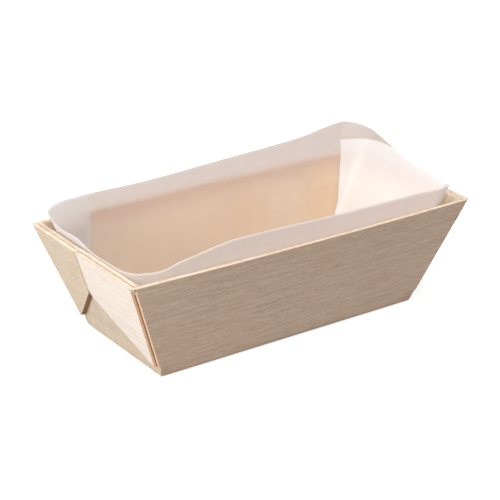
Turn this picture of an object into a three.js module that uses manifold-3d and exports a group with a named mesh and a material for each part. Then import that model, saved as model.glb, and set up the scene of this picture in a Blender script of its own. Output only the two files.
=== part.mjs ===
// Wooden baking punnet: a shallow loaf tray folded from one sheet of wood veneer, with a loose
// paper liner standing inside it. Millimetres, +Z up, origin under the middle of the base, +X along
// the length.
//
// The veneer tray is one piece. Its base, its two long walls and its two end walls are one sheet.
// Each long wall runs on past the corner as a flap, and the flaps lie flat on the outside of the
// end walls. The corner folds are scored lines that opened on the outside as the flap was bent.
import * as THREE from 'three';
import Module from 'manifold-3d';

const wasm = await Module();
wasm.setup();

// Overall size of the tray
const topLength = 175; // over the end flaps, at the rim
const topWidth = 75; // over the long walls, at the corners of the rim
const baseLength = 134.3; // between the folds at the ends of the base
const baseWidth = 55.6; // between the folds along the base
const height = 48;

// Veneer sheet and its folds
const veneer = 1.9;
const bendRadius = 3; // outside of the folds along the base
const wallBow = 1.2; // how far a long wall springs outward, half way along its rim
const bowFoot = 7; // below this height a long wall is straight
const layerGap = 0.3; // between an end wall and the flaps on it, and along every cut
const endCutFoot = 3.6; // height at which the cut beside an end wall starts
const endCurveTop = 8; // an end wall curves in behind its flaps up to this height

// Corner flaps, on the outside of each end wall
const seamTop = 3.2; // the two flaps meet this far behind the middle at the rim
const seamFoot = 6.7; // and this far where the seam ends
const flapFoot = 6; // height of the flaps' lowest corner
const frontFlapEdge = 26.5; // height where the front flap's upright edge turns in
const frontFlapTurn = 5; // radius of that turn
const backFlapEdge = 27; // height where the back flap's slanted edge meets the seam

// Corner folds
const hinge = 0.4; // veneer left uncut on the inside of a scored fold
const closedFold = 1.5; // length of fold at the rim that stayed closed
const foldRadius = 2.2; // outside radius of that closed length
const foldEase = 0.15; // angle left off each end of its arc, so that it meets the faces cleanly

// Paper liner
const paper = 0.4;
const linerGap = 0.3; // between the liner and the veneer
const linerFoldRadius = 3; // along its bottom edge
const linerCornerFoot = 4; // corner radius at the base
const linerCornerTop = 10; // corner radius at the rim
// How far the liner's edge stands above the rim, as [share of the side's length, rise]
const linerRise = {
  front: [[0, 5], [0.06, 6.2], [0.13, 7.5], [0.2, 9.8], [0.26, 10.9], [0.4, 10.8], [0.6, 9.8], [0.86, 9.4], [0.95, 7.9], [1, 9]],
  right: [[0, 3], [0.25, 4.8], [0.5, 6.1], [0.75, 8.4], [1, 10.5]],
  back: [[0, 13.6], [0.05, 13.8], [0.1, 12.2], [0.16, 10.6], [0.3, 9.4], [0.45, 8.2], [0.6, 7.4], [0.75, 6.8], [0.86, 7.2], [1, 6.8]],
  left: [[0, 5.6], [0.1, 3.4], [0.3, 3.4], [0.4, 4], [0.46, 1], [0.65, 0.5], [0.8, 0.7], [0.95, 1.2], [1, 3.2]],
};

// Sizes that follow from the ones above
const endLean = Math.atan((topLength - baseLength) / 2 / height);
const wallLean = Math.atan((topWidth - baseWidth) / 2 / height);
const endOutside = veneer + layerGap;
const endInside = endOutside + veneer;
const openTop = height * 1.5; // how far up the open hollows are cut

// Fineness of the mesh
const lengthSteps = 14;
const wallRows = 8;
const rowSpread = 2; // rows lie closer together near the base
const bendSteps = 5;

// Distance of a flat end face from the middle, at a height, this far in from the flaps' outside
function endAt(z, inset) {
  return baseLength / 2 + Math.tan(endLean) * z - inset / Math.cos(endLean);
}

// The same for an end wall, which starts in line with the flaps at the base and curves in
function endWallAt(z, inset) {
  const curve = Math.max(0, 1 - z / endCurveTop) ** 2;
  return endAt(z, inset) + curve * endOutside / Math.cos(endLean);
}

// Distance of a long wall's face from the middle, bowed most at mid length and at the rim
function wallAt(x, z, inset) {
  const along = 1 - (2 * x / topLength) ** 2;
  const bow = wallBow * Math.max(0, along) * (Math.max(0, z - bowFoot) / (height - bowFoot)) ** 2;
  return baseWidth / 2 + Math.tan(wallLean) * z + bow - inset / Math.cos(wallLean);
}

// One side of a trough's section, from the floor's middle out round the bend and up the wall,
// as pairs of distance out and height
function halfSection(faceAt, lean, floor, radius, top) {
  const centre = faceAt(floor + radius * (1 - Math.sin(lean))) - radius * Math.cos(lean);
  const points = [];
  for (let i = 0; i <= bendSteps; i++) {
    const angle = -Math.PI / 2 + (Math.PI / 2 - lean) * i / bendSteps;
    points.push([centre + radius * Math.cos(angle), floor + radius + radius * Math.sin(angle)]);
  }
  const start = points[bendSteps][1];
  for (let i = 1; i <= wallRows; i++) {
    const z = start + (top - start) * (i / wallRows) ** rowSpread;
    points.push([faceAt(z), z]);
  }
  return points;
}

// The whole section, mirrored about the middle
function fullSection(half) {
  return [...half.map(([out, z]) => [-out, z]).reverse(), ...half];
}

// Closed body through rings of the same number of points. Its caps are fans about their middle,
// or where flat(point) gives their own plane, any outline.
function loft(rings, flat) {
  const count = rings[0].length;
  const vertices = rings.flat().flatMap((point) => [point.x, point.y, point.z]);
  const faces = [];
  for (let r = 0; r + 1 < rings.length; r++) {
    for (let i = 0; i < count; i++) {
      const a = r * count + i;
      const b = r * count + (i + 1) % count;
      faces.push(a, b, b + count, a, b + count, a + count);
    }
  }
  const last = (rings.length - 1) * count;
  if (flat) {
    const outline = rings[0].map(flat);
    const clockwise = THREE.ShapeUtils.isClockWise(outline);
    for (const face of THREE.ShapeUtils.triangulateShape(outline, [])) {
      const [a, b, c] = clockwise ? face.reverse() : face;
      faces.push(a, c, b, last + a, last + b, last + c);
    }
    return solidFrom(vertices, faces);
  }
  for (const ring of [rings[0], rings[rings.length - 1]]) {
    const middle = ring.reduce((sum, point) => sum.add(point), new THREE.Vector3());
    vertices.push(...middle.divideScalar(count));
  }
  const middle = rings.length * count;
  for (let i = 0; i < count; i++) {
    const next = (i + 1) % count;
    faces.push(middle, next, i, middle + 1, last + i, last + next);
  }
  return solidFrom(vertices, faces);
}

// Solid from points and triangles, turned so that its faces point out
function solidFrom(vertices, faces) {
  const corner = (i) => new THREE.Vector3().fromArray(vertices, faces[i] * 3);
  let volume = 0;
  for (let i = 0; i < faces.length; i += 3) {
    volume += corner(i).dot(corner(i + 1).cross(corner(i + 2)));
  }
  if (volume < 0) faces.reverse();
  return new wasm.Manifold(new wasm.Mesh({
    numProp: 3, vertProperties: new Float32Array(vertices), triVerts: new Uint32Array(faces),
  }));
}

// Filled trough that runs the length of the tray, bounded by the long walls' faces
function longTrough(inset, floor, radius, top = openTop) {
  const rings = [];
  for (let i = 0; i <= lengthSteps; i++) {
    const x = topLength * 0.75 * (2 * i / lengthSteps - 1);
    const half = halfSection((z) => wallAt(x, z, inset), wallLean, floor, radius, top);
    rings.push(fullSection(half).map(([y, z]) => new THREE.Vector3(x, y, z)));
  }
  return loft(rings);
}

// Filled trough across the tray, bounded by the faces that faceAt gives
function crossTrough(faceAt, inset, floor, radius) {
  const lean = faceAt === endAt ? endLean : 0;
  const half = halfSection((z) => faceAt(z, inset), lean, floor, radius, openTop);
  const rings = [-topWidth, topWidth].map((y) => (
    fullSection(half).map(([x, z]) => new THREE.Vector3(x, y, z))
  ));
  return loft(rings);
}

// Straight bar along X with the outline given as pairs of y and z
function barAlongX(outline, from, to) {
  const rings = [from, to].map((x) => outline.map(([y, z]) => new THREE.Vector3(x, y, z)));
  return loft(rings, (point) => new THREE.Vector2(point.y, point.z));
}

// Straight bar between two heights; ring(z) gives its outline there as pairs of x and y
function barUp(ring, from, to) {
  const rings = [from, to].map((z) => ring(z).map(([x, y]) => new THREE.Vector3(x, y, z)));
  return loft(rings, (point) => new THREE.Vector2(point.x, point.y));
}

// Points on a quarter or other short arc
function arc(cx, cy, radius, from, to, steps = bendSteps) {
  return Array.from({ length: steps + 1 }, (_, i) => {
    const angle = from + (to - from) * i / steps;
    return [cx + radius * Math.cos(angle), cy + radius * Math.sin(angle)];
  });
}

// Arc that rounds the corner of an outline, given the points before and after it
function rounded(before, corner, after, radius) {
  const at = new THREE.Vector2(...corner);
  const back = new THREE.Vector2(...before).sub(at).normalize();
  const ahead = new THREE.Vector2(...after).sub(at).normalize();
  const half = Math.acos(back.dot(ahead)) / 2;
  const centre = back.clone().add(ahead).setLength(radius / Math.sin(half)).add(at);
  const reach = radius / Math.tan(half);
  const from = back.multiplyScalar(reach).add(at).sub(centre);
  const to = ahead.multiplyScalar(reach).add(at).sub(centre);
  const turn = Math.atan2(from.cross(to), from.dot(to));
  return arc(centre.x, centre.y, radius, from.angle(), from.angle() + turn);
}

// How far behind the middle the seam between two flaps lies at a height
function seamAt(z) {
  return seamTop + (seamFoot - seamTop) * (height - z) / (height - frontFlapEdge);
}

// Outline of the wide flap from the front wall: slanted lower edge, rounded turn, upright edge
function frontFlapOutline() {
  const corner = wallAt(endAt(flapFoot, 0), flapFoot, veneer);
  const side = layerGap / 2;
  const foot = [-corner, flapFoot];
  const turn = [seamAt(frontFlapEdge) - side, frontFlapEdge];
  const top = [seamAt(openTop) - side, openTop];
  return [
    [-topWidth, flapFoot], foot, ...rounded(foot, turn, top, frontFlapTurn), top, [-topWidth, openTop],
  ];
}

// Outline of the narrow flap from the back wall: slanted lower edge up to the seam
function backFlapOutline() {
  const corner = wallAt(endAt(flapFoot, 0), flapFoot, veneer);
  const side = layerGap / 2;
  return [
    [topWidth, flapFoot], [corner, flapFoot], [seamAt(backFlapEdge) + side, backFlapEdge],
    [seamAt(openTop) + side, openTop], [topWidth, openTop],
  ];
}

// Opened score at one corner: the outer corner of the fold is gone, down to the thin hinge
function openScore(endSide, wallSide) {
  const ring = (z) => {
    const x = endAt(z, veneer) + hinge;
    const y = wallAt(x, z, veneer) + hinge;
    return [[x, y], [x + 3 * veneer, y], [x + 3 * veneer, y + 3 * veneer], [x, y + 3 * veneer]]
      .map(([a, b]) => [a * endSide, b * wallSide]);
  };
  return barUp(ring, flapFoot - veneer, height - closedFold);
}

// Rounded outside of the short length at the rim where the fold stayed closed
function roundedFold(endSide, wallSide) {
  const ring = (z) => {
    const x = endAt(z, 0);
    const y = wallAt(x, z, 0);
    const round = arc(x - foldRadius, y - foldRadius, foldRadius, foldEase, Math.PI / 2 - foldEase);
    return [[x + veneer, y - foldRadius], ...round, [x - foldRadius, y + veneer], [x + veneer, y + veneer]]
      .map(([a, b]) => [a * endSide, b * wallSide]);
  };
  return barUp(ring, height - closedFold - veneer / 4, height + veneer);
}

function veneerTray() {
  const innerRadius = bendRadius - veneer;
  const outerWalls = longTrough(0, 0, bendRadius, height);
  const innerWalls = longTrough(veneer, veneer, innerRadius);
  const endFace = crossTrough(endWallAt, endOutside, 0, bendRadius);
  const endHollow = crossTrough(endWallAt, endInside, veneer, innerRadius);

  // Base, long walls and end walls
  const box = outerWalls.intersect(endFace).subtract(innerWalls.intersect(endHollow));

  // Cut beside each end wall, from just above the base to the rim
  const cut = innerWalls.subtract(longTrough(veneer + layerGap, veneer, innerRadius));
  const aboveFoot = barAlongX(
    [[-topWidth, endCutFoot], [topWidth, endCutFoot], [topWidth, openTop], [-topWidth, openTop]],
    -topLength, topLength,
  );
  const cutBox = box.subtract(cut.intersect(aboveFoot));

  // Ends of the long walls, and the flaps that turn from them round the corners
  const wrap = outerWalls.intersect(crossTrough(endAt, 0, 0, bendRadius))
    .subtract(innerWalls.intersect(crossTrough(endAt, veneer, -veneer, bendRadius)));
  let tray = cutBox;
  for (const endSide of [-1, 1]) {
    for (const outline of [frontFlapOutline(), backFlapOutline()]) {
      const bar = barAlongX(outline, endSide * baseLength / 2, endSide * topLength);
      tray = tray.add(wrap.intersect(bar));
    }
    for (const wallSide of [-1, 1]) {
      tray = tray.subtract(openScore(endSide, wallSide)).subtract(roundedFold(endSide, wallSide));
    }
  }
  return tray;
}

// Value at a share of the way along a side, eased between the pairs given
function easedAt(pairs, share) {
  const next = Math.max(1, pairs.findIndex(([at]) => at >= share));
  const [from, low] = pairs[next - 1];
  const [to, high] = pairs[next];
  return THREE.MathUtils.lerp(low, high, THREE.MathUtils.smoothstep(share, from, to));
}

// Ring round the liner at one level, from the front left corner and on anticlockwise. levelAt
// gives the height for a rise, inset is measured in from the veneer's own faces, and bend is how
// far the bottom fold pulls the ring in.
function linerRing(levelAt, inset, bend) {
  const sideSteps = 28;
  const endSteps = 14;
  const cornerSteps = 6;
  const sides = [
    { rise: linerRise.front, steps: sideSteps, long: true, sign: -1 },
    { rise: linerRise.right, steps: endSteps, long: false, sign: 1 },
    { rise: linerRise.back, steps: sideSteps, long: true, sign: 1 },
    { rise: linerRise.left, steps: endSteps, long: false, sign: -1 },
  ];
  const place = (side, share) => {
    const z = levelAt(easedAt(side.rise, share));
    const radius = THREE.MathUtils.lerp(linerCornerFoot, linerCornerTop, Math.min(1, z / height));
    const halfLength = endWallAt(z, endInside + inset) - bend;
    const along = side.long ? halfLength - radius : wallAt(halfLength, z, veneer + inset) - bend - radius;
    const run = side.sign * along * (2 * share - 1);
    if (side.long) return { x: -run, y: side.sign * (wallAt(run, z, veneer + inset) - bend), z, radius };
    return { x: side.sign * halfLength, y: run, z, radius };
  };
  const ring = [];
  sides.forEach((side, index) => {
    for (let i = 0; i <= side.steps; i++) {
      const { x, y, z } = place(side, i / side.steps);
      ring.push(new THREE.Vector3(x, y, z));
    }
    const start = place(side, 1);
    const end = place(sides[(index + 1) % sides.length], 0);
    for (let i = 1; i < cornerSteps; i++) {
      const turn = Math.PI / 2 * i / cornerSteps;
      const near = side.long ? Math.sin(turn) : 1 - Math.cos(turn);
      const far = side.long ? 1 - Math.cos(turn) : Math.sin(turn);
      ring.push(new THREE.Vector3(
        THREE.MathUtils.lerp(start.x, end.x, near),
        THREE.MathUtils.lerp(start.y, end.y, far),
        THREE.MathUtils.lerp(start.z, end.z, i / cornerSteps),
      ));
    }
  });
  return ring;
}

// Rings of one face of the liner, from its bottom fold up to its edge
function linerFace(inset) {
  const floor = veneer + inset;
  const radius = linerFoldRadius - (inset - linerGap);
  const rows = 6;
  const rings = [];
  for (let i = 0; i < bendSteps; i++) {
    const angle = Math.PI / 2 * i / bendSteps;
    rings.push(linerRing(
      () => floor + radius * (1 - Math.cos(angle)), inset, radius * (1 - Math.sin(angle)),
    ));
  }
  for (let i = 0; i <= rows; i++) {
    rings.push(linerRing(
      (rise) => floor + radius + (height + rise - floor - radius) * i / rows, inset, 0,
    ));
  }
  return rings;
}

// Open liner: outer face up, over the edge, inner face down, and a floor on both
function paperLiner() {
  const outer = linerFace(linerGap);
  const inner = linerFace(linerGap + paper);
  const rings = [...outer, ...inner.reverse()];
  return loft(rings);
}

// Mesh of a solid, with its own material
function meshOf(name, solid, color, roughness) {
  const { vertProperties, triVerts } = solid.getMesh();
  const geometry = new THREE.BufferGeometry();
  geometry.setAttribute('position', new THREE.BufferAttribute(vertProperties, 3));
  geometry.setIndex(new THREE.BufferAttribute(triVerts, 1));
  geometry.computeVertexNormals();
  const material = new THREE.MeshStandardMaterial({ color, roughness, metalness: 0 });
  const mesh = new THREE.Mesh(geometry, material);
  mesh.name = name;
  return mesh;
}

const group = new THREE.Group();
group.add(meshOf('veneer_tray', veneerTray(), 0xc9a783, 0.7));
group.add(meshOf('paper_liner', paperLiner(), 0xe6d6cb, 0.55));

export default group;
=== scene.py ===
"""Looks of the wooden baking punnet: a tray folded from bare wood veneer, with a creased liner of
thin translucent baking paper standing in it. Geometry is worked out in millimetres and written
to Blender in metres, in the tray's own frame: +X along its length, +Y to the back, +Z up."""
import math

import bpy
from mathutils import Matrix, Vector, noise


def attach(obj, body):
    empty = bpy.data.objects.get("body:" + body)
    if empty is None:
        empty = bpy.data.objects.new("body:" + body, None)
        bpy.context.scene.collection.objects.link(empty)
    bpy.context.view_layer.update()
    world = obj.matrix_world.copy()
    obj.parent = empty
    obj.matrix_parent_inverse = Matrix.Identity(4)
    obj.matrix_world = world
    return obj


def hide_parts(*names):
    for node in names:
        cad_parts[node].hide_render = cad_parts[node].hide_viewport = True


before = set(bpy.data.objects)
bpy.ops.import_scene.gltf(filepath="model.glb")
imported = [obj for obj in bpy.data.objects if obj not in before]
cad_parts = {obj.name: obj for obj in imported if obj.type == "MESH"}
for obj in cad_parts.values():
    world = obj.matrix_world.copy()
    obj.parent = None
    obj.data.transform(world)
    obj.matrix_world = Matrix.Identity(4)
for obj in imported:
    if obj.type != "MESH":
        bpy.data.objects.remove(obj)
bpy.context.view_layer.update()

MM = 0.001

# How far the long walls bow out at the rim, and the height at which their bow starts
WALL_BOW, BOW_FOOT = 1.2, 7.0
# Length and height of the tray and width of its rim at the ends, from the solid in the frame
CORNERS_OF_BOX = [Vector(corner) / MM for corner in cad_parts["veneer_tray"].bound_box]
TOP_LENGTH = round(2 * max(corner.x for corner in CORNERS_OF_BOX), 2)
TOP_WIDTH = round(2 * (max(corner.y for corner in CORNERS_OF_BOX) - WALL_BOW), 2)
HEIGHT = round(max(corner.z for corner in CORNERS_OF_BOX), 2)
# The base, the sheet, and the gap between an end wall and its flaps
BASE_LENGTH, BASE_WIDTH = 134.3, 55.6
VENEER = 1.9
LAYER_GAP = 0.3
# Height up to which the end walls curve in behind their flaps
END_CURVE_TOP = 8.0
# The seam between an end's two flaps: its distance behind the middle at the rim and at its foot
SEAM_TOP = 3.2
SEAM_FOOT, SEAM_FOOT_HEIGHT = 6.7, 26.5

END_LEAN = math.atan((TOP_LENGTH - BASE_LENGTH) / 2 / HEIGHT)
WALL_LEAN = math.atan((TOP_WIDTH - BASE_WIDTH) / 2 / HEIGHT)
END_OUTSIDE = VENEER + LAYER_GAP
END_INSIDE = END_OUTSIDE + VENEER


def lerp(a, b, share):
    return a + (b - a) * share


def smooth(share):
    share = min(1.0, max(0.0, share))
    return share * share * (3 - 2 * share)


def end_at(z, inset):
    """Distance of a flat end face from the middle, this far in from the flaps' outside."""
    return BASE_LENGTH / 2 + math.tan(END_LEAN) * z - inset / math.cos(END_LEAN)


def end_wall_at(z, inset):
    """The same for an end wall, which curves in behind its flaps above the base."""
    curve = max(0.0, 1 - z / END_CURVE_TOP) ** 2
    return end_at(z, inset) + curve * END_OUTSIDE / math.cos(END_LEAN)


def wall_at(x, z, inset):
    """Distance of a long wall's face from the middle, bowed most at mid length and at the rim."""
    along = max(0.0, 1 - (2 * x / TOP_LENGTH) ** 2)
    bow = WALL_BOW * along * (max(0.0, z - BOW_FOOT) / (HEIGHT - BOW_FOOT)) ** 2
    return BASE_WIDTH / 2 + math.tan(WALL_LEAN) * z + bow - inset / math.cos(WALL_LEAN)


def seam_at(z):
    """How far behind the middle the seam between two end flaps lies at a height."""
    return lerp(SEAM_TOP, SEAM_FOOT, (HEIGHT - z) / (HEIGHT - SEAM_FOOT_HEIGHT))


class Shader:
    """A node tree, with short calls for the nodes that a material or the world is built from."""

    def __init__(self, tree):
        self.tree = tree
        self.tree.nodes.clear()

    def node(self, kind, inputs=None, **settings):
        """New node, with its settings made and its inputs set to numbers or linked to sockets."""
        made = self.tree.nodes.new(kind)
        for key, value in settings.items():
            setattr(made, key, value)
        for key, value in (inputs or {}).items():
            self.put(made.inputs[key], value)
        return made

    def put(self, socket, value):
        if isinstance(value, bpy.types.NodeSocket):
            self.tree.links.new(value, socket)
        else:
            socket.default_value = value

    def math(self, operation, a, b=0.0, c=0.0):
        return self.node("ShaderNodeMath", {0: a, 1: b, 2: c}, operation=operation).outputs[0]

    def plus(self, a, b):
        return self.math("ADD", a, b)

    def minus(self, a, b):
        return self.math("SUBTRACT", a, b)

    def times(self, a, b):
        return self.math("MULTIPLY", a, b)

    def larger(self, a, b):
        return self.math("MAXIMUM", a, b)

    def noise(self, place, scale, detail, roughness=0.5):
        return self.node("ShaderNodeTexNoise", {
            "Vector": place, "Scale": scale, "Detail": detail, "Roughness": roughness,
        }).outputs["Fac"]

    def spread(self, value, low, high, to_low=0.0, to_high=1.0):
        """The value eased from one number to another while it goes from low to high."""
        return self.node("ShaderNodeMapRange", {
            "Value": value, "From Min": low, "From Max": high, "To Min": to_low, "To Max": to_high,
        }, interpolation_type="SMOOTHSTEP").outputs["Result"]

    def mix(self, factor, a, b, blend="MIX"):
        """Mix of two colours."""
        made = self.node("ShaderNodeMix", data_type="RGBA", blend_type=blend)
        for index, value in ((0, factor), (6, a), (7, b)):
            self.put(made.inputs[index], value)
        return made.outputs[2]

    def mix_value(self, factor, a, b):
        return self.math("MULTIPLY_ADD", factor, self.minus(b, a), a)

    def mix_shader(self, factor, a, b):
        return self.node("ShaderNodeMixShader", {0: factor, 1: a, 2: b}).outputs[0]

    def bump(self, height, relief, normal=None):
        """Normal tilted by a height, with the relief given as (strength, depth in millimetres)."""
        strength, depth = relief
        inputs = {"Height": height, "Strength": strength, "Distance": depth * MM}
        if normal is not None:
            inputs["Normal"] = normal
        return self.node("ShaderNodeBump", inputs).outputs["Normal"]

    def matte(self, base, sheen, normal):
        """Plain surface, with its sheen given as (roughness, specular level)."""
        roughness, specular = sheen
        return self.node("ShaderNodeBsdfPrincipled", {
            "Base Color": base, "Roughness": roughness, "Normal": normal,
            "Specular IOR Level": specular,
        }).outputs[0]

    def background_ray(self):
        """1 where a ray from the camera, a mirror or clear glass lands, 0 for all other light."""
        path = self.node("ShaderNodeLightPath").outputs
        seen = self.larger(path["Is Camera Ray"], path["Is Glossy Ray"])
        seen = self.larger(seen, path["Is Transmission Ray"])
        return self.times(seen, self.minus(1.0, path["Is Diffuse Ray"]))

    def end(self, kind, surface):
        """Link the finished surface to the tree's output."""
        self.put(self.node(kind).inputs["Surface"], surface)


class MaterialShader(Shader):
    """Node tree of a new material, with the place on the object that its patterns start from."""

    def __init__(self, name):
        self.material = bpy.data.materials.new(name)
        self.material.use_nodes = True
        super().__init__(self.material.node_tree)
        self.place = self.node("ShaderNodeTexCoord").outputs["Object"]

    def xyz(self):
        """x, y and z of the place, in millimetres."""
        split = self.node("ShaderNodeSeparateXYZ", {0: self.place})
        return [self.math("DIVIDE", value, MM) for value in split.outputs]

    def streaks(self, run, side, pattern):
        """Noise drawn out along the grain, by one of the patterns below."""
        along, across, detail, roughness = pattern
        place = self.node("ShaderNodeCombineXYZ", {0: self.times(run, along), 1: self.times(side, across)})
        return self.noise(place.outputs[0], 1.0, detail, roughness)

    def rounded(self):
        """Normal that makes a cut edge look slightly worn."""
        return self.node("ShaderNodeBevel", {"Radius": EDGE_WEAR * MM}, samples=4).outputs["Normal"]

    def finish(self, surface):
        self.end("ShaderNodeOutputMaterial", surface)
        return self.material


def colour(r, g, b):
    """Linear colour from an sRGB one given from 0 to 255."""
    def linear(value):
        value /= 255
        return value / 12.92 if value <= 0.04045 else ((value + 0.055) / 1.055) ** 2.4
    return (linear(r), linear(g), linear(b), 1.0)


def new_object(name, vertices, faces, materials, face_material=None):
    """Smooth mesh object from millimetre points."""
    mesh = bpy.data.meshes.new(name)
    mesh.from_pydata([Vector(v) * MM for v in vertices], [], faces)
    for material in materials:
        mesh.materials.append(material)
    if face_material:
        mesh.polygons.foreach_set("material_index", face_material)
    mesh.polygons.foreach_set("use_smooth", [True] * len(mesh.polygons))
    mesh.update()
    made = bpy.data.objects.new(name, mesh)
    bpy.context.scene.collection.objects.link(made)
    return made


# Patterns of the wood, as (scale along the grain, scale across it, detail, roughness)
WANDER = (0.045, 0.03, 3.0, 0.5)
FINE_GRAIN = (0.16, 1.9, 3.0, 0.65)
GRAIN_LINES = (0.035, 0.8, 3.0, 0.55)
FIBRES = (0.6, 3.0, 2.0, 0.7)
PORES = (0.5, 3.2, 1.0, 0.5)
CLOUDS = (0.02, 0.04, 2.0, 0.5)
# How far the grain's lines wander, and how far a cut edge is worn, in millimetres
WANDER_REACH = 3.0
EDGE_WEAR = 0.3
# How much of the grain is fine grain, lines and fibres, and its values from dark to light
GRAIN_SHARES = (0.4, 0.3, 0.3)
GRAIN_SPREAD = (0.38, 0.62)
# Values over which the clouds and the pores set in, and their strength before and after that
CLOUD_SPREAD = (0.3, 0.7, 0.0, 0.4)
PORE_SPREAD = (0.62, 0.78, 0.0, 0.35)
# How dark a pore is next to the darkest wood, and how deep it is next to the grain
PORE_TONE, PORE_DEPTH = 0.8, 0.5
# Pits of a cut edge, as (scale, detail, roughness), and their values from dark to light
PITS = (420.0, 4.0, 0.6)
PIT_SPREAD = (0.3, 0.7)
# Relief as (strength, depth in millimetres) and sheen as (roughness, specular level)
VENEER_RELIEF, VENEER_SHEEN = (0.3, 0.1), (0.72, 0.25)
EDGE_RELIEF, EDGE_SHEEN = (0.3, 0.15), (0.8, 0.2)
# Darkest and lightest colour of each kind of face, and what tints the wood's clouds
WOOD_DARK, WOOD_LIGHT = colour(196, 171, 150), colour(222, 201, 182)
END_DARK, END_LIGHT = colour(197, 179, 157), colour(223, 208, 189)
# Painted light: the front flaps' veneer is painted paler than the back flaps beside it in the same plane
FRONT_FLAP_LIT_DARK, FRONT_FLAP_LIT_LIGHT = colour(226, 214, 202), colour(242, 234, 225)
EDGE_DARK, EDGE_LIGHT = colour(198, 178, 158), colour(216, 200, 182)
# Flaps' cut edges: rough cut wood that is darker, and also painted shade and shadow along them
FLAP_EDGE_SHADED_DARK, FLAP_EDGE_SHADED_LIGHT = colour(150, 112, 76), colour(184, 146, 108)
WARM_DARK, WARM_LIGHT = colour(226, 192, 156), colour(240, 212, 180)
LIP_DARK, LIP_LIGHT = colour(250, 206, 172), colour(255, 222, 194)
# Colour of the painted shade deep in a corner's scored fold
GROOVE_SHADE_COLOUR = colour(104, 62, 34)
PINK = (0.56, 0.49, 0.46, 1.0)
# A corner's scored fold has painted shade between these shares of the sheet's thickness, up to the
# stretch below the rim where it is closed, over a short blend
GROOVE_FROM, GROOVE_TO = 0.4, 0.85
CLOSED_FOLD, CLOSED_BLEND = 3.0, 0.8


def veneer_material(name, along, across, dark, light):
    """Face of the veneer. along and across pick the axes (0, 1, 2) that the grain follows."""
    shader = MaterialShader(name)
    xyz = shader.xyz()
    run, side = xyz[along], xyz[across]
    # The grain's lines wander a little, as those of a sheet peeled from a round log do
    wavy = shader.math("MULTIPLY_ADD", shader.streaks(run, side, WANDER), WANDER_REACH, side)
    fine = shader.streaks(run, wavy, FINE_GRAIN)
    lines = shader.streaks(run, wavy, GRAIN_LINES)
    fibres = shader.streaks(run, wavy, FIBRES)
    grain = shader.plus(shader.times(fine, GRAIN_SHARES[0]), shader.times(lines, GRAIN_SHARES[1]))
    grain = shader.math("MULTIPLY_ADD", fibres, GRAIN_SHARES[2], grain)
    base = shader.mix(shader.spread(grain, *GRAIN_SPREAD), dark, light)
    clouds = shader.streaks(run, side, CLOUDS)
    base = shader.mix(shader.spread(clouds, *CLOUD_SPREAD), base, PINK, "SOFT_LIGHT")
    # Short dark pores along the grain
    pores = shader.streaks(run, wavy, PORES)
    deeper = (*[PORE_TONE * value for value in dark[:3]], 1.0)
    base = shader.mix(shader.spread(pores, *PORE_SPREAD), base, deeper)
    height = shader.minus(fine, shader.times(pores, PORE_DEPTH))
    normal = shader.bump(height, VENEER_RELIEF, shader.rounded())
    return shader.finish(shader.matte(base, VENEER_SHEEN, normal))


def painted_groove_shade(shader):
    """1 where shade is painted in the inner part of a corner's scored fold, 0 outside it and where it is
    closed.
    """
    x, _, z = shader.xyz()
    face = shader.math("MULTIPLY_ADD", z, math.tan(END_LEAN), BASE_LENGTH / 2)
    depth = shader.minus(face, shader.math("ABSOLUTE", x))
    inner = shader.spread(depth, GROOVE_FROM * VENEER, GROOVE_TO * VENEER)
    closed_at = HEIGHT - CLOSED_FOLD
    return shader.times(inner, shader.spread(z, closed_at, closed_at - CLOSED_BLEND))


def edge_material(name, dark, light, shade_colour=None):
    """Cut edge of the sheet: fine streaks and pits in the wood. In a corner's scored fold, shade is
    painted on the inner part of the sheet's thickness as a darker colour."""
    shader = MaterialShader(name)
    pits = shader.noise(shader.place, *PITS)
    base = shader.mix(shader.spread(pits, *PIT_SPREAD), dark, light)
    if shade_colour:
        # Painted shade: the inner part of the thickness in a scored fold is darkened
        base = shader.mix(painted_groove_shade(shader), base, shade_colour)
    normal = shader.bump(pits, EDGE_RELIEF, shader.rounded())
    return shader.finish(shader.matte(base, EDGE_SHEEN, normal))


# Which of the tray's faces is which: how near a face lies to a plane that it belongs to, in
# millimetres, and how squarely it faces along an axis
NEAR, NEAR_FOLD = 0.05, 0.1
SQUARE, STEEP, SLANTED, EDGEWAYS = 0.9, 0.6, 0.8, 0.3
# Heights from which the end flaps, their cut edges and the open folds start, and the one up to
# which the folds are open
FLAP_FROM, FLAP_EDGE_FROM, FOLD_FROM = 4.5, 5.0, 6.0
FOLD_TO = HEIGHT - 1.0
# Rounding of the corners just above the base, in plan, and the height over which it fades out
CORNER_ROUND, CORNER_ROUND_TOP, CORNER_ROUND_FADE = 3.4, 6.6, 2.5


def tray_face_kind(centre, normal):
    """Which of the tray's materials a face takes, from where it is and which way it faces."""
    x, y, z = centre
    lengthways, crossways, up = abs(normal[0]), abs(normal[1]), normal[2]
    beyond_end = abs(x) - end_at(z, 0)
    beyond_wall = abs(y) - wall_at(x, z, 0)
    if z > HEIGHT - NEAR and up > SQUARE:
        return "edge"
    in_end = beyond_end + VENEER / math.cos(END_LEAN)
    in_wall = beyond_wall + VENEER / math.cos(WALL_LEAN)
    in_fold = in_end > -NEAR_FOLD and in_wall > -NEAR_FOLD
    outside = abs(beyond_end) < NEAR or abs(beyond_wall) < NEAR
    turns_corner = outside and lengthways < SLANTED and crossways < SLANTED
    if in_fold and turns_corner and z > HEIGHT - CLOSED_FOLD:
        return "edge"
    if in_fold and not outside and FOLD_FROM < z < FOLD_TO:
        return "groove" if crossways > lengthways else "warm_edge"
    if in_end > -NEAR and not outside and lengthways < EDGEWAYS and z > FLAP_EDGE_FROM:
        return "flap_edge"
    if lengthways > STEEP:
        if abs(beyond_end) < NEAR and z > FLAP_FROM:
            return "front_flap" if y < seam_at(z) else "back_flap"
        return "end_wall"
    return "long_wall" if crossways > STEEP else "base"


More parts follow.
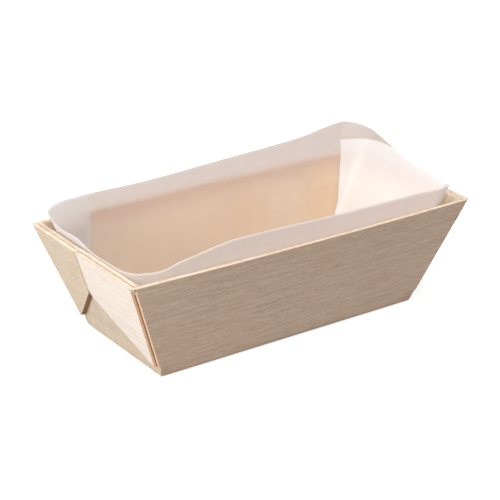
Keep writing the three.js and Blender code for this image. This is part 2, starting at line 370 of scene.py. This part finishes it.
def soften_base_corner(point):
    """Round a corner just above the base in plan, where the folds of the sheet run together."""
    u = abs(point.x) - (end_at(point.z, 0) - CORNER_ROUND)
    v = abs(point.y) - (wall_at(point.x, point.z, 0) - CORNER_ROUND)
    if u <= 0 or v <= 0 or math.hypot(u, v) <= CORNER_ROUND:
        return point
    near = smooth((CORNER_ROUND_TOP - point.z) / CORNER_ROUND_FADE)
    share = near * (1 - CORNER_ROUND / math.hypot(u, v))
    x, y = abs(point.x) - u * share, abs(point.y) - v * share
    return Vector((math.copysign(x, point.x), math.copysign(y, point.y), point.z))


def tray_materials():
    """The tray's materials, by the kind of face that takes them."""
    return {
        "long_wall": veneer_material("veneer along the walls", 0, 2, WOOD_DARK, WOOD_LIGHT),
        "base": veneer_material("veneer of the base", 0, 1, WOOD_DARK, WOOD_LIGHT),
        "end_wall": veneer_material("veneer up the ends", 2, 1, END_DARK, END_LIGHT),
        "back_flap": veneer_material("veneer of the back flaps", 1, 2, END_DARK, END_LIGHT),
        # Painted light: the front flaps take a paler copy of the end veneer
        "front_flap": veneer_material("veneer of the front flaps, painted lighter", 1, 2, FRONT_FLAP_LIT_DARK, FRONT_FLAP_LIT_LIGHT),
        "edge": edge_material("cut veneer edge", EDGE_DARK, EDGE_LIGHT),
        # Scored fold edges, with painted shade in the inner part of the fold
        "groove": edge_material("scored veneer edge with painted shade", LIP_DARK, LIP_LIGHT, GROOVE_SHADE_COLOUR),
        # Flap edges: rough cut wood with painted shade and shadow
        "flap_edge": edge_material("cut edge of a flap with painted shade", FLAP_EDGE_SHADED_DARK, FLAP_EDGE_SHADED_LIGHT),
        "warm_edge": edge_material("lit scored edge", WARM_DARK, WARM_LIGHT),
    }


def make_tray():
    """The folded veneer, from a copy of the tray's own solid."""
    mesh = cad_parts["veneer_tray"].data.copy()
    for vertex in mesh.vertices:
        vertex.co = soften_base_corner(vertex.co / MM) * MM
    mesh.update()
    materials = tray_materials()
    mesh.materials.clear()
    for material in materials.values():
        mesh.materials.append(material)
    kinds = list(materials)
    for face in mesh.polygons:
        face.material_index = kinds.index(tray_face_kind(face.center / MM, face.normal))
    tray = bpy.data.objects.new("folded_veneer", mesh)
    bpy.context.scene.collection.objects.link(tray)
    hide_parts("veneer_tray")
    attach(tray, "root")


# The paper's thickness, its gap to the wood and the rounding of the fold round its floor
PAPER = 0.16
PAPER_CLEARANCE = 0.35
PAPER_FOLD = 2.6
# Its colours: its face, what shines through it and what is seen through it, against the wood
# inside the tray and where it stands free above the rim
PAPER_DARK, PAPER_LIGHT = (0.95, 0.9, 0.85, 1.0), (0.98, 0.94, 0.89, 1.0)
DOUBLED_FACE = (0.85, 0.845, 0.85, 1.0)
GLOW_INSIDE, GLOW_FREE = (1.0, 0.94, 0.86, 1.0), (0.94, 0.87, 0.845, 1.0)
CLEAR_INSIDE, CLEAR_FREE = (1.0, 0.965, 0.9, 1.0), (1.0, 0.98, 0.97, 1.0)
# How clear it is, and how much of the rest glows through, each as (against the wood, free)
SINGLE_CLEAR, SINGLE_THROUGH = (0.32, 0.17), (0.6, 0.8)
DOUBLED_CLEAR, DOUBLED_THROUGH = (0.12, 0.16), (0.4, 0.48)
# Heights between which it changes from lying against the wood to standing free
FREE_FROM, FREE_TO = HEIGHT - 14, HEIGHT + 3
# How clear it is where it lies close on the wood, and the places along X where that starts
LYING_CLEAR, LYING_FROM, LYING_TO = 0.62, 44.0, 60.0
# The doubled paper's inner layer ends below the outer one at the back right, at a height that
# falls off towards the corner, with a soft edge
INNER_TOP, INNER_FLAT, INNER_FALL, INNER_SOFT = 56.2, 20.0, 0.13, 0.25
# Textures of the paper, as (scale, detail): its fibres, its soft waves and the patches where it
# lies close on the wood, and then the scale of its facets
PAPER_FIBRES, PAPER_WAVES, PAPER_PATCHES = (700.0, 3.0), (55.0, 2.0), (18.0, 1.0)
PAPER_FACETS = 42.0
# Values of the fibres from dark to light, and of the patches from none to full
FIBRE_SPREAD, PATCH_SPREAD = (0.3, 0.7), (0.5, 0.75)
# Heights of the facets and the fibres next to the waves, then relief and sheen as for the wood
FACET_HEIGHT, FIBRE_HEIGHT = 0.5, 0.08
PAPER_RELIEF, PAPER_SHEEN = (0.22, 1.2), (0.45, 0.3)


def lying_share(shader, x, free):
    """1 where the paper lies close on the wood: here and there, and next to the right folds."""
    patches = shader.spread(shader.noise(shader.place, *PAPER_PATCHES), *PATCH_SPREAD)
    lying = shader.larger(patches, shader.spread(x, LYING_FROM, LYING_TO))
    return shader.times(lying, shader.minus(1.0, free))


def inner_layer(shader, x, y, z):
    """1 where the doubled paper has its inner layer, 0 above that layer's edge."""
    fall = shader.times(shader.larger(shader.minus(y, INNER_FLAT), 0.0), INNER_FALL)
    below = shader.minus(shader.minus(INNER_TOP, fall), z)
    return shader.spread(shader.larger(below, shader.times(x, -1.0)), -INNER_SOFT, INNER_SOFT)


def paper_material(name, doubled):
    """Thin greaseproof paper: part clear, part translucent, with soft fibre clouds and a sheen."""
    shader = MaterialShader(name)
    fibres = shader.noise(shader.place, *PAPER_FIBRES)
    waves = shader.noise(shader.place, *PAPER_WAVES)
    facets = shader.node("ShaderNodeTexVoronoi", {"Vector": shader.place, "Scale": PAPER_FACETS})
    x, y, z = shader.xyz()
    free = shader.spread(z, FREE_FROM, FREE_TO)
    clear = shader.spread(free, 0.0, 1.0, *SINGLE_CLEAR)
    clear = shader.mix_value(lying_share(shader, x, free), clear, LYING_CLEAR)
    through = shader.spread(free, 0.0, 1.0, *SINGLE_THROUGH)
    face = shader.mix(shader.spread(fibres, *FIBRE_SPREAD), PAPER_DARK, PAPER_LIGHT)
    if doubled:
        layer = inner_layer(shader, x, y, z)
        clear = shader.mix_value(layer, clear, shader.spread(free, 0.0, 1.0, *DOUBLED_CLEAR))
        through = shader.mix_value(layer, through, shader.spread(free, 0.0, 1.0, *DOUBLED_THROUGH))
        face = shader.mix(layer, face, DOUBLED_FACE)
    height = shader.math("MULTIPLY_ADD", facets.outputs["Distance"], FACET_HEIGHT, waves)
    height = shader.math("MULTIPLY_ADD", fibres, FIBRE_HEIGHT, height)
    normal = shader.bump(height, PAPER_RELIEF)
    glow = shader.node("ShaderNodeBsdfTranslucent", {
        "Color": shader.mix(free, GLOW_INSIDE, GLOW_FREE), "Normal": normal,
    })
    seen_through = shader.node("ShaderNodeBsdfTransparent", {
        "Color": shader.mix(free, CLEAR_INSIDE, CLEAR_FREE),
    })
    body = shader.mix_shader(through, shader.matte(face, PAPER_SHEEN, normal), glow.outputs[0])
    return shader.finish(shader.mix_shader(clear, body, seen_through.outputs[0]))


# The walls and corners round the liner, anticlockwise
AROUND = ["front", "front_right", "right", "back_right", "back", "back_left", "left", "front_left"]
# Those where the paper is single. Everywhere else above its floor fold it is doubled
SINGLE = ("front", "back", "front_left")
# Corners that are met from their end wall first, going anticlockwise
END_FIRST = ("back_right", "front_left")
# Heights of the liner's edge above the ground, in millimetres: along the long walls by the place
# along X, along the ends by the place along Y, and round a corner by the share of the way from
# one wall to the next, anticlockwise
EDGE_HEIGHT = {
    "front": [(-78, 51.7), (-67, 54.2), (-57, 55.6), (-47, 57.9), (-40, 58.9), (-19, 58.8),
              (15, 57.8), (38, 57.6), (55, 57.3), (67, 56.0), (74, 57.0)],
    "front_right": [(0, 57.0), (0.5, 54.5), (1, 51.2)],
    "right": [(-26, 50.9), (-14, 52.6), (0, 54.0), (12, 56.2), (18, 57.4), (23, 58.3), (28, 58.9)],
    "back_right": [(0, 59.3), (0.3, 60.8), (0.7, 61.6), (1, 62.0)],
    "back": [(-59, 55.2), (-35, 54.9), (-14, 55.5), (7, 56.4), (29, 57.3), (41, 57.9), (52, 58.6),
             (58, 59.5), (64, 60.6), (70, 61.9), (76, 62.0)],
    "back_left": [(0, 55.1), (0.46, 57.1), (0.7, 58.0), (0.85, 58.2), (0.92, 57.6), (0.97, 56.4),
                  (1, 54.4)],
    "left": [(-23, 49.0), (-15, 48.7), (-8, 48.4), (1.6, 48.9), (3, 51.0), (5, 52.3), (12, 51.6),
             (18, 50.9), (24, 51.2), (26.5, 53.0)],
    "front_left": [(0, 49.4), (0.5, 50.4), (1, 51.6)],
}
# Where the liner leaves the walls in each corner, as (height, distance from the corner along the
# long wall, the same along the end wall), and how far the two folds there are rounded
CORNERS = {
    "front_right": ([(0, 3, 3), (HEIGHT, 10, 9.5), (56, 11, 11)], (4, 4)),
    "back_right": ([(0, 2.5, 2.5), (26, 1.6, 1.6), (HEIGHT, 7, 6), (56, 10, 7)], (0.5, 5)),
    "back_left": (
        [(0, 2.5, 2.5), (10, 1.5, 1.5), (31, 12, 4.5), (HEIGHT, 22, 8.8), (56, 26, 9.4)],
        (0.5, 1.2),
    ),
    "front_left": ([(0, 4, 4), (HEIGHT, 9, 8), (56, 10, 9)], (7, 6)),
}
# Rounding of the folds: their share of it at the floor, and limits as shares of the corner's cut
# and of the facet between the two folds
FOLD_AT_FLOOR, FOLD_OF_CUT, FOLD_OF_FACET = 0.25, 0.8, 0.45
# Share of the way round a corner that each of its two folds takes, with a flat facet between
FOLD_SHARE = 0.35
FACET_SHARE = 1 - 2 * FOLD_SHARE
# Steps of the mesh along a wall, across a facet, round a fold, up the walls and round the floor
LONG_STEPS, END_STEPS, FACET_STEPS, FOLD_STEPS, ROWS, FLOOR_STEPS = 90, 44, 10, 8, 40, 6
# Neighbours on each side that the edge's height is evened over, so that it has no kinks
EVEN_REACH = 2
# How the paper is pulled in from the wood: wide slack and narrow creases, each as (size across,
# size up, depth), from a height at which that starts and over the height that it grows in
SLACK, CREASE = (26, 34, 0.5), (11, 40, 0.35)
CREASE_SHIFT = 5
RUFFLE_FROM, RUFFLE_OVER = 8, 30


def height_at(name, place):
    """Height of the liner's edge at a place along a wall or round a corner."""
    pairs = EDGE_HEIGHT[name]
    for (start, low), (stop, high) in zip(pairs, pairs[1:]):
        if place <= stop:
            return lerp(low, high, max(0.0, (place - start) / (stop - start)))
    return pairs[-1][1]


def evened(values, reach):
    """Values round a closed edge, each replaced by the mean of its neighbourhood."""
    count = len(values)
    return [
        sum(values[(i + step) % count] for step in range(-reach, reach + 1)) / (2 * reach + 1)
        for i in range(count)
    ]


def corner_cut(name, z):
    """How far from a corner the liner leaves each wall at a height, and its folds' rounding."""
    stations, folds = CORNERS[name]
    cut = stations[-1][1:]
    for (start, *low), (stop, *high) in zip(stations, stations[1:]):
        if z <= stop:
            share = max(0.0, (z - start) / (stop - start))
            cut = [lerp(low[i], high[i], share) for i in (0, 1)]
            break
    ease = lerp(FOLD_AT_FLOOR, 1, min(1.0, z / HEIGHT))
    return cut, [min(folds[i] * ease, FOLD_OF_CUT * cut[i]) for i in (0, 1)]


def bezier(points, share):
    a, b, c = points
    return a * (1 - share) ** 2 + b * 2 * share * (1 - share) + c * share ** 2


class LinerPlan:
    """Plan of the liner at one height: places along its four walls and across its corners. inset
    is its gap to the wood, and bend is how much further in it is at the fold round its floor."""

    def __init__(self, z, inset, bend):
        self.z, self.inset, self.bend = z, inset, bend
        self.end = end_wall_at(z, END_INSIDE + inset) - bend
        self.wall_end = self.wall(self.end)

    def wall(self, x):
        return wall_at(x, self.z, VENEER + self.inset) - self.bend

    def on_wall(self, corner, from_corner):
        """Point on the long wall this far along it from a corner, as (x, y)."""
        x = self.end - from_corner
        return self.signed(corner, x, self.wall(x))

    def on_end(self, corner, from_corner):
        return self.signed(corner, self.end, self.wall_end - from_corner)

    def signed(self, corner, x, y):
        return Vector((x if "right" in corner else -x, y if "back" in corner else -y))

    def corner(self, name, share):
        """Point on the way round a corner, from the wall before it to the wall after it."""
        cut, fold = corner_cut(name, self.z)
        on_wall, on_end = self.on_wall(name, cut[0]), self.on_end(name, cut[1])
        across = (on_end - on_wall).normalized()
        reach = [min(value, FOLD_OF_FACET * (on_end - on_wall).length) for value in fold]
        wall_fold = (self.on_wall(name, cut[0] + reach[0]), on_wall, on_wall + across * reach[0])
        end_fold = (on_end - across * reach[1], on_end, self.on_end(name, cut[1] + reach[1]))
        if name in END_FIRST:
            share = 1 - share
        if share < FOLD_SHARE:
            return bezier(wall_fold, share / FOLD_SHARE)
        if share > 1 - FOLD_SHARE:
            return bezier(end_fold, (share - 1 + FOLD_SHARE) / FOLD_SHARE)
        return wall_fold[2].lerp(end_fold[0], (share - FOLD_SHARE) / FACET_SHARE)

    def way_round(self, name, share):
        """How far round a corner one of its points is, from 0 to 1, anticlockwise."""
        cut, _ = corner_cut(name, self.z)
        start, stop = self.on_wall(name, cut[0]), self.on_end(name, cut[1])
        if name in END_FIRST:
            start, stop = stop, start
        chord = stop - start
        way = (self.corner(name, share) - start).dot(chord) / chord.length_squared
        return min(1.0, max(0.0, way))

    def point(self, name, share):
        """Point at a share of the way along a wall or round a corner, anticlockwise."""
        if name in CORNERS:
            return self.corner(name, share)
        at = AROUND.index(name)
        before, after = AROUND[at - 1], AROUND[(at + 1) % len(AROUND)]
        place = self.corner(before, 1).lerp(self.corner(after, 0), share)
        if name in ("front", "back"):
            y = self.wall(place.x)
            return Vector((place.x, y if name == "back" else -y))
        return place


def corner_shares():
    """Shares of the way round a corner at which the mesh has its points."""
    fold = [FOLD_SHARE * i / FOLD_STEPS for i in range(FOLD_STEPS)]
    facet = [FOLD_SHARE + FACET_SHARE * i / FACET_STEPS for i in range(FACET_STEPS)]
    return fold + facet + [1 - FOLD_SHARE + share for share in fold]


def liner_stops():
    """All places round the liner, as (wall or corner, share of it, height of the edge there)."""
    rim = LinerPlan(HEIGHT, 0, 0)
    stops = []
    for name in AROUND:
        if name in CORNERS:
            for share in corner_shares():
                stops.append((name, share, height_at(name, rim.way_round(name, share))))
            continue
        long_wall = name in ("front", "back")
        steps = LONG_STEPS if long_wall else END_STEPS
        for i in range(steps):
            place = rim.point(name, i / steps)
            stops.append((name, i / steps, height_at(name, place.x if long_wall else place.y)))
    edges = evened(evened([edge for name, share, edge in stops], EVEN_REACH), EVEN_REACH)
    return [(name, share, edge) for (name, share, _), edge in zip(stops, edges)]


def liner_rings(stops, inset):
    """Rings of the liner from the fold round its floor up to its edge."""
    floor = VENEER + inset
    foot = floor + PAPER_FOLD
    rings = []
    for i in range(FLOOR_STEPS):
        angle = math.pi / 2 * i / FLOOR_STEPS
        z = floor + PAPER_FOLD * (1 - math.cos(angle))
        plan = LinerPlan(z, inset, PAPER_FOLD * (1 - math.sin(angle)))
        rings.append([(*plan.point(name, share), z) for name, share, _ in stops])
    for i in range(ROWS + 1):
        ring = []
        for name, share, edge in stops:
            z = lerp(foot, edge, i / ROWS)
            ring.append((*LinerPlan(z, inset, 0.0).point(name, share), z))
        rings.append(ring)
    return [[Vector(point) for point in ring] for ring in rings]


def ruffle(point):
    """How far the paper is pulled in from the wood at a point, in millimetres."""
    across, up, slack_depth = SLACK
    slack = 0.5 + 0.5 * noise.noise(Vector((point.x / across, point.y / across, point.z / up)))
    across, up, crease_depth = CREASE
    place = Vector((point.x / across, point.y / across, point.z / up + CREASE_SHIFT))
    creased = abs(noise.noise(place))
    free = smooth((point.z - RUFFLE_FROM) / RUFFLE_OVER)
    return free * (slack_depth * slack + crease_depth * creased)


def ruffled(point):
    inward = Vector((-point.x / TOP_LENGTH, -point.y / TOP_WIDTH, 0))
    return point + inward.normalized() * ruffle(point)


def liner_faces(rings):
    """Faces of the walls, ring by ring, and then those of the floor round its middle point."""
    count = len(rings[0])
    faces = []
    for start in range(0, (len(rings) - 1) * count, count):
        for i in range(count):
            a, b = start + i, start + (i + 1) % count
            faces.append((a, b, b + count, a + count))
    middle = len(rings) * count
    return faces + [(middle, (i + 1) % count, i) for i in range(count)]


def make_liner():
    """The baking paper, a single surface that a modifier gives its thickness."""
    stops = liner_stops()
    rings = liner_rings(stops, PAPER_CLEARANCE)
    count = len(stops)
    vertices = [ruffled(point) for ring in rings for point in ring]
    vertices.append(sum(rings[0], Vector((0, 0, 0))) / count)
    faces = liner_faces(rings)
    doubled = [
        int(stops[i % count][0] not in SINGLE and vertices[face[0]].z > VENEER + PAPER_FOLD)
        for i, face in enumerate(faces[:-count])
    ]
    liner = new_object("baking_paper", vertices, faces, [
        paper_material("greaseproof paper", False),
        paper_material("doubled greaseproof paper", True),
    ], doubled + [0] * count)
    thickness = liner.modifiers.new("paper thickness", "SOLIDIFY")
    thickness.thickness = PAPER * MM
    thickness.offset = -1
    thickness.use_even_offset = False
    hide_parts("paper_liner")
    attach(liner, "root")


# Camera at the photograph's viewing angle: angles in degrees, the rest in millimetres. It is
# turned to a point above the middle of the base, and then slid along its own right and up
CAMERA_AZIMUTH, CAMERA_ELEVATION, CAMERA_ROLL = -38.134, 23.974, 2.724
CAMERA_DISTANCE = 698.4
CAMERA_AIM_HEIGHT = 25.0
CAMERA_SLIDE = (-2.118, 4.45)
CAMERA_LENS, CAMERA_SENSOR = 118.17, 36
CAMERA_REACH = (50, 10000)


def make_camera():
    azimuth, elevation = math.radians(CAMERA_AZIMUTH), math.radians(CAMERA_ELEVATION)
    back = Vector((
        math.sin(azimuth) * math.cos(elevation), -math.cos(azimuth) * math.cos(elevation),
        math.sin(elevation),
    ))
    level = Vector((math.cos(azimuth), math.sin(azimuth), 0))
    right = Matrix.Rotation(math.radians(CAMERA_ROLL), 3, back) @ level
    up = back.cross(right)
    place = Vector((0, 0, CAMERA_AIM_HEIGHT)) + back * CAMERA_DISTANCE
    place += right * CAMERA_SLIDE[0] + up * CAMERA_SLIDE[1]
    camera = bpy.data.objects.new("camera", bpy.data.cameras.new("camera"))
    camera.data.sensor_width = CAMERA_SENSOR
    camera.data.lens = CAMERA_LENS
    camera.data.clip_start, camera.data.clip_end = [reach * MM for reach in CAMERA_REACH]
    axes = Matrix((right, up, back)).transposed().to_4x4()
    camera.matrix_world = Matrix.Translation(place * MM) @ axes
    bpy.context.scene.collection.objects.link(camera)
    bpy.context.scene.camera = camera


# The even light from all sides, and the point that the lamps are turned to
SKY_LEVEL, SKY_TINT = 0.21, (1.0, 0.97, 0.94, 1.0)
LAMP_AIM = (0, 0, 30)
WHITE = (1.0, 1.0, 1.0, 1.0)
# The floor's half width and colour, how far it lies below the base, its own level where it is
# seen near the object and far from it, and the distances between which that changes
FLOOR_REACH, FLOOR_DROP = 3000, 0.05
FLOOR_COLOUR = (0.36, 0.34, 0.325, 1.0)
FLOOR_LEVEL_NEAR, FLOOR_LEVEL_FAR = 0.8, 0.95
FLOOR_NEAR, FLOOR_FAR = 250, 1200


def make_lamp(name, place, size, power):
    """Square soft light, with its place and size in millimetres."""
    data = bpy.data.lights.new(name, "AREA")
    data.shape = "SQUARE"
    data.size = size * MM
    data.energy = power
    lamp = bpy.data.objects.new(name, data)
    lamp.location = Vector(place) * MM
    lamp.rotation_euler = (Vector(place) - Vector(LAMP_AIM)).to_track_quat("Z", "Y").to_euler()
    bpy.context.scene.collection.objects.link(lamp)


def make_world():
    """Even light from all sides, over a background that is plain white to the camera."""
    world = bpy.data.worlds.new("studio")
    bpy.context.scene.world = world
    world.use_nodes = True
    shader = Shader(world.node_tree)
    lighting = shader.node("ShaderNodeBackground", {"Color": SKY_TINT, "Strength": SKY_LEVEL})
    shown = shader.node("ShaderNodeBackground", {"Color": WHITE, "Strength": 1.0})
    either = shader.mix_shader(shader.background_ray(), lighting.outputs[0], shown.outputs[0])
    shader.end("ShaderNodeOutputWorld", either)


def floor_material():
    """Plain pale floor that the camera sees as white, but for the object's shadow."""
    shader = MaterialShader("pale floor")
    x, y, _ = shader.xyz()
    away = shader.math("SQRT", shader.plus(shader.times(x, x), shader.times(y, y)))
    level = shader.spread(away, FLOOR_NEAR, FLOOR_FAR, FLOOR_LEVEL_NEAR, FLOOR_LEVEL_FAR)
    plain = shader.node("ShaderNodeBsdfDiffuse", {"Color": FLOOR_COLOUR})
    lift = shader.node("ShaderNodeEmission", {
        "Color": WHITE, "Strength": shader.times(shader.background_ray(), level),
    })
    both = shader.node("ShaderNodeAddShader", {0: plain.outputs[0], 1: lift.outputs[0]})
    return shader.finish(both.outputs[0])


def make_floor():
    sides = ((-1, -1), (1, -1), (1, 1), (-1, 1))
    corners = [(x * FLOOR_REACH, y * FLOOR_REACH, 0) for x, y in sides]
    floor = new_object("floor", corners, [(0, 1, 2, 3)], [floor_material()])
    floor.location.z = -FLOOR_DROP * MM


bpy.context.scene.view_settings.view_transform = "Standard"
make_camera()
make_world()
make_lamp("side light", place=(-1600, -180, 530), size=720, power=23.0)
make_lamp("top light", place=(-100, -400, 1100), size=700, power=14.5)
make_lamp("back light", place=(-150, 900, 520), size=900, power=4.4)
make_floor()
make_tray()
make_liner()
